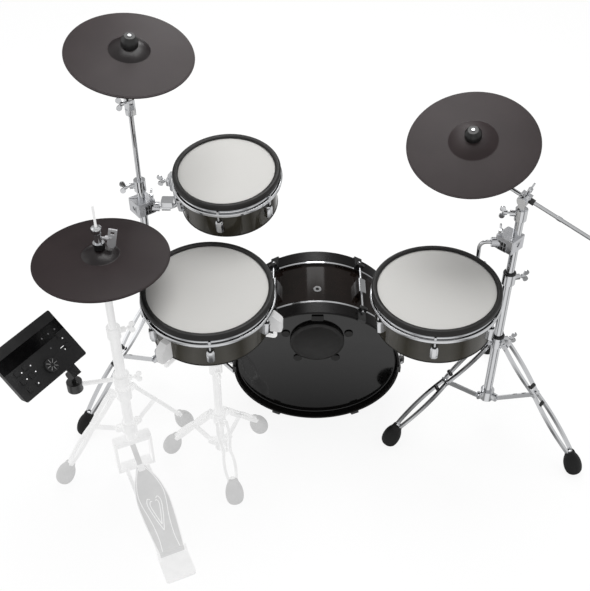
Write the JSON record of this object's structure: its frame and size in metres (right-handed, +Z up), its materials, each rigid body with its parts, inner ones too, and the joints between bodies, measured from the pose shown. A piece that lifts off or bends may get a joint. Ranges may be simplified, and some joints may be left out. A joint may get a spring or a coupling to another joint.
{
  "type": "electronic drum kit",
  "caption": "Electronic drum kit: kick drum, mesh head snare and toms, rubber cymbal pads on folding stands, hi-hat pedal stand and a sound module.",
  "frame": {"origin": "centre of the footprint box, on the floor", "axes": "+X to the player's right, +Y away from the player, +Z up"},
  "size_m": [1.5916, 1.0653, 1.1882],
  "materials": {
    "mesh_head": "woven polyester mesh, matt",
    "black_rubber": "matt",
    "cymbal_rubber": "satin, fine grain",
    "shell_wrap": "high gloss wrap",
    "kick_wrap": "high gloss wrap",
    "black_gloss": "high gloss lacquer",
    "chrome": "polished",
    "black_plastic": "moulded, fine grain",
    "pale_metal": "white lacquer, satin",
    "pale_board": "pale grey lacquer, satin",
    "foam": "cellular foam"
  },
  "bodies": {
    "kit_base": {"kick_shell": "kick_wrap", "kick_hoops": "black_gloss", "kick_heads": "black_gloss", "kick_impact_pad": "black_rubber", "kick_trigger": "foam", "kick_hardware": "chrome", "left_base": "chrome", "right_base": "chrome", "hihat_stand": "pale_metal", "snare_stand": "pale_metal", "module_mount": "pale_metal"},
    "left_collar": {"left_collar": "chrome"},
    "left_leg_1": {"left_leg_1": "chrome"},
    "left_brace_1": {"left_brace_1": "chrome"},
    "left_leg_2": {"left_leg_2": "chrome"},
    "left_brace_2": {"left_brace_2": "chrome"},
    "left_leg_3": {"left_leg_3": "chrome"},
    "left_brace_3": {"left_brace_3": "chrome"},
    "right_collar": {"right_collar": "chrome"},
    "right_leg_1": {"right_leg_1": "chrome"},
    "right_brace_1": {"right_brace_1": "chrome"},
    "right_leg_2": {"right_leg_2": "chrome"},
    "right_brace_2": {"right_brace_2": "chrome"},
    "right_leg_3": {"right_leg_3": "chrome"},
    "right_brace_3": {"right_brace_3": "chrome"},
    "left_mast": {"left_mast": "chrome"},
    "left_tom_rod": {"left_tom_rod": "chrome"},
    "left_tom": {"left_tom_shell": "shell_wrap", "left_tom_head": "mesh_head", "left_tom_rim_cover": "black_rubber", "left_tom_hardware": "chrome", "left_tom_trigger": "foam"},
    "crash_rod": {"crash_rod": "chrome"},
    "crash_tilter": {"crash_tilter": "chrome"},
    "crash_pad": {"crash_pad": "cymbal_rubber"},
    "right_mast": {"right_mast": "chrome"},
    "right_tom_rod": {"right_tom_rod": "chrome"},
    "right_tom": {"right_tom_shell": "shell_wrap", "right_tom_head": "mesh_head", "right_tom_rim_cover": "black_rubber", "right_tom_hardware": "chrome", "right_tom_trigger": "foam"},
    "boom_clamp": {"boom_clamp": "chrome"},
    "boom_arm": {"boom_arm": "chrome"},
    "ride_tilter": {"ride_tilter": "chrome"},
    "ride_pad": {"ride_pad": "cymbal_rubber"},
    "hihat_pedal": {"hihat_footboard": "pale_board"},
    "hihat_top": {"hihat_rod": "chrome", "hihat_pad": "cymbal_rubber"},
    "snare": {"snare_basket": "pale_metal", "snare_shell": "shell_wrap", "snare_head": "mesh_head", "snare_rim_cover": "black_rubber", "snare_hardware": "chrome", "snare_trigger": "foam"},
    "module": {"module_case": "black_plastic"},
    "module_dial": {"module_dial": "black_plastic"},
    "module_keys": {"module_buttons": "black_plastic"},
    "kick_spur_left": {"kick_spur_left": "chrome"},
    "kick_spur_right": {"kick_spur_right": "chrome"}
  },
  "joints": [
    {"name": "left_fold", "type": "slide", "parent": "kit_base", "child": "left_collar", "axis": [0, 0, 1], "range_m": [0, 0.096]},
    {"name": "left_leg_1", "type": "hinge", "parent": "left_collar", "child": "left_leg_1", "pos_m": [-0.47608, 0.18093, 0.328], "axis": [0.7193, -0.6947, 0], "range_deg": [0, 35.54]},
    {"name": "left_brace_1", "type": "hinge", "parent": "kit_base", "child": "left_brace_1", "pos_m": [-0.47469, 0.18237, 0.113], "axis": [-0.7193, 0.6947, 0], "range_deg": [0, 40.08]},
    {"name": "left_leg_2", "type": "hinge", "parent": "left_collar", "child": "left_leg_2", "pos_m": [-0.4228, 0.19621, 0.328], "axis": [0.2419, 0.9703, 0], "range_deg": [0, 35.54]},
    {"name": "left_brace_2", "type": "hinge", "parent": "kit_base", "child": "left_brace_2", "pos_m": [-0.42474, 0.19669, 0.113], "axis": [-0.2419, -0.9703, 0], "range_deg": [0, 40.08]},
    {"name": "left_leg_3", "type": "hinge", "parent": "left_collar", "child": "left_leg_3", "pos_m": [-0.46267, 0.23471, 0.328], "axis": [-0.9613, -0.2756, 0], "range_deg": [0, 35.54]},
    {"name": "left_brace_3", "type": "hinge", "parent": "kit_base", "child": "left_brace_3", "pos_m": [-0.46212, 0.23278, 0.113], "axis": [0.9613, 0.2756, 0], "range_deg": [0, 40.08]},
    {"name": "right_fold", "type": "slide", "parent": "kit_base", "child": "right_collar", "axis": [0, 0, 1], "range_m": [0, 0.096]},
    {"name": "right_leg_1", "type": "hinge", "parent": "right_collar", "child": "right_leg_1", "pos_m": [0.55804, 0.01766, 0.328], "axis": [0.6652, 0.7466, 0], "range_deg": [0, 35.54]},
    {"name": "right_brace_1", "type": "hinge", "parent": "kit_base", "child": "right_brace_1", "pos_m": [0.55655, 0.01899, 0.113], "axis": [-0.6652, -0.7466, 0], "range_deg": [0, 40.08]},
    {"name": "right_leg_2", "type": "hinge", "parent": "right_collar", "child": "right_leg_2", "pos_m": [0.54064, 0.07028, 0.328], "axis": [-0.9792, 0.2028, 0], "range_deg": [0, 35.54]},
    {"name": "right_brace_2", "type": "hinge", "parent": "kit_base", "child": "right_brace_2", "pos_m": [0.54023, 0.06832, 0.113], "axis": [0.9792, -0.2028, 0], "range_deg": [0, 40.08]},
    {"name": "right_leg_3", "type": "hinge", "parent": "right_collar", "child": "right_leg_3", "pos_m": [0.50377, 0.0289, 0.328], "axis": [0.314, -0.9494, 0], "range_deg": [0, 35.54]},
    {"name": "right_brace_3", "type": "hinge", "parent": "kit_base", "child": "right_brace_3", "pos_m": [0.50567, 0.02953, 0.113], "axis": [-0.314, 0.9494, 0], "range_deg": [0, 40.08]},
    {"name": "left_height", "type": "slide", "parent": "kit_base", "child": "left_mast", "axis": [0, 0, 1], "range_m": [0, 0.08]},
    {"name": "crash_height", "type": "slide", "parent": "left_mast", "child": "crash_rod", "axis": [0, 0, 1], "range_m": [-0.025, 0.07]},
    {"name": "crash_tilt", "type": "hinge", "parent": "crash_rod", "child": "crash_tilter", "pos_m": [-0.45385, 0.20395, 0.99], "axis": [0.8414, 0.5404, 0], "range_deg": [-20, 20]},
    {"name": "crash_sway", "type": "hinge", "parent": "crash_tilter", "child": "crash_pad", "pos_m": [-0.43181, 0.16963, 1.13746], "axis": [0.8414, 0.5404, 0], "range_deg": [-8, 8], "stiffness_Nm_per_rad": 6},
    {"name": "left_tom_tilt", "type": "hinge", "parent": "left_mast", "child": "left_tom_rod", "pos_m": [-0.45385, 0.20395, 0.672], "axis": [0.9997, -0.0226, 0], "range_deg": [-15, 0]},
    {"name": "left_tom_swing", "type": "hinge", "parent": "left_tom_rod", "child": "left_tom", "pos_m": [-0.36086, 0.18594, 0.76189], "axis": [-0.0275, -0.1736, 0.9844], "range_deg": [0, 20]},
    {"name": "right_height", "type": "slide", "parent": "kit_base", "child": "right_mast", "axis": [0, 0, 1], "range_m": [-0.02, 0.08]},
    {"name": "right_tom_tilt", "type": "hinge", "parent": "right_mast", "child": "right_tom_rod", "pos_m": [0.53415, 0.03895, 0.672], "axis": [-0.9991, 0.0415, 0], "range_deg": [-10, 10]},
    {"name": "right_tom_swing", "type": "hinge", "parent": "right_tom_rod", "child": "right_tom", "pos_m": [0.44581, 0.04835, 0.56171], "axis": [-0.0314, -0.0506, 0.9982], "range_deg": [-12, 12]},
    {"name": "boom_tilt", "type": "hinge", "parent": "right_mast", "child": "boom_clamp", "pos_m": [0.53415, 0.03895, 0.8055], "axis": [0.5643, 0.8256, 0], "range_deg": [-10, 12]},
    {"name": "boom_reach", "type": "slide", "parent": "boom_clamp", "child": "boom_arm", "axis": [0.7929, -0.5419, -0.2784], "range_m": [-0.05, 0.05]},
    {"name": "ride_tilt", "type": "hinge", "parent": "boom_arm", "child": "ride_tilter", "pos_m": [0.41605, 0.13299, 0.84915], "axis": [0.7929, -0.5419, -0.2784], "range_deg": [-15, 15]},
    {"name": "ride_sway", "type": "hinge", "parent": "ride_tilter", "child": "ride_pad", "pos_m": [0.40113, 0.10067, 0.9329], "axis": [0.9865, -0.059, 0.1529], "range_deg": [-8, 8], "stiffness_Nm_per_rad": 6},
    {"name": "hihat_pedal", "type": "hinge", "parent": "kit_base", "child": "hihat_pedal", "pos_m": [-0.36325, -0.4471, 0.017], "axis": [-0.9135, -0.4067, 0], "range_deg": [0, 4.5], "stiffness_Nm_per_rad": 30},
    {"name": "hihat_lift", "type": "slide", "parent": "kit_base", "child": "hihat_top", "axis": [0, 0, -1], "range_m": [0, 0.02667]},
    {"name": "snare_height", "type": "slide", "parent": "kit_base", "child": "snare", "axis": [0, 0, 1], "range_m": [-0.04, 0.005]},
    {"name": "module_tilt", "type": "hinge", "parent": "kit_base", "child": "module", "pos_m": [-0.62165, -0.16101, 0.39286], "axis": [0.5664, 0.8233, 0.0362], "range_deg": [-15, 15]},
    {"name": "dial_turn", "type": "hinge", "parent": "module", "child": "module_dial", "pos_m": [-0.65337, -0.21438, 0.47306], "axis": [0.5108, -0.3852, 0.7685], "continuous": true},
    {"name": "key_press", "type": "slide", "parent": "module", "child": "module_keys", "axis": [-0.5108, 0.3852, -0.7685], "range_m": [0, 0.0015], "stiffness_N_per_m": 300},
    {"name": "kick_spur_left", "type": "hinge", "parent": "kit_base", "child": "kick_spur_left", "pos_m": [-0.13558, 0.20491, 0.06515], "axis": [0, 0.9945, 0.1045], "range_deg": [0, 45]},
    {"name": "kick_spur_right", "type": "hinge", "parent": "kit_base", "child": "kick_spur_right", "pos_m": [0.18388, 0.20491, 0.06515], "axis": [0, -0.9945, -0.1045], "range_deg": [0, 45]}
  ],
  "couplings": [
    {"joint": "left_leg_1", "follows": "left_fold", "rad_per_m": 6.4607},
    {"joint": "left_brace_1", "follows": "left_fold", "rad_per_m": 7.2871},
    {"joint": "left_leg_2", "follows": "left_fold", "rad_per_m": 6.4607},
    {"joint": "left_brace_2", "follows": "left_fold", "rad_per_m": 7.2871},
    {"joint": "left_leg_3", "follows": "left_fold", "rad_per_m": 6.4607},
    {"joint": "left_brace_3", "follows": "left_fold", "rad_per_m": 7.2871},
    {"joint": "right_leg_1", "follows": "right_fold", "rad_per_m": 6.4607},
    {"joint": "right_brace_1", "follows": "right_fold", "rad_per_m": 7.2871},
    {"joint": "right_leg_2", "follows": "right_fold", "rad_per_m": 6.4607},
    {"joint": "right_brace_2", "follows": "right_fold", "rad_per_m": 7.2871},
    {"joint": "right_leg_3", "follows": "right_fold", "rad_per_m": 6.4607},
    {"joint": "right_brace_3", "follows": "right_fold", "rad_per_m": 7.2871},
    {"joint": "hihat_lift", "follows": "hihat_pedal", "m_per_rad": 0.3383}
  ]
}
